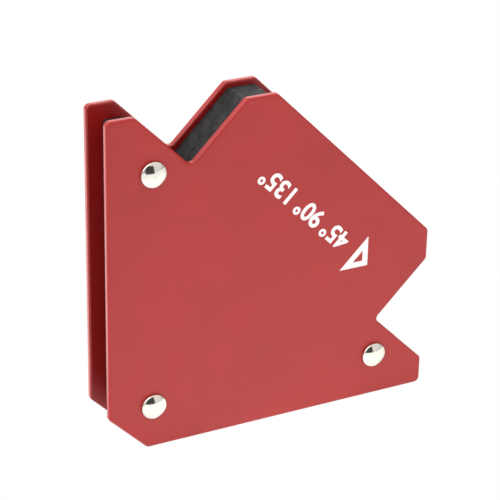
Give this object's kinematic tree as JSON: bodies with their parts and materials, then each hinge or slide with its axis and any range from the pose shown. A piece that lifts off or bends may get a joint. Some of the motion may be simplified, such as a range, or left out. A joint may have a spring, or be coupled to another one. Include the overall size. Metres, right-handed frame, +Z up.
{
  "type": "welding magnet holder",
  "caption": "Arrow-shaped magnetic holder with square, sloping and V-notched edges, for setting steel parts at an angle while they are welded.",
  "frame": {"origin": "middle of the bottom edge, half way between the two plates", "axes": "+Z up, +X along the bottom edge towards the right arm, -Y towards the plate with the rivet heads"},
  "size_m": [0.1, 0.0187, 0.1],
  "materials": {
    "red_paint": "satin",
    "filler": "matte",
    "ferrite": "matte",
    "spacer_aluminium": "satin",
    "nickel_plate": "polished"
  },
  "bodies": {
    "root": {"front_plate": "red_paint", "back_plate": "red_paint", "core_filler": "filler", "magnet_upright": "ferrite", "magnet_base": "ferrite", "magnet_slope": "ferrite", "spacer_upper": "spacer_aluminium", "spacer_corner": "spacer_aluminium", "spacer_right": "spacer_aluminium", "rivet_upper": "nickel_plate", "rivet_corner": "nickel_plate", "rivet_right": "nickel_plate"}
  },
  "joints": []
}
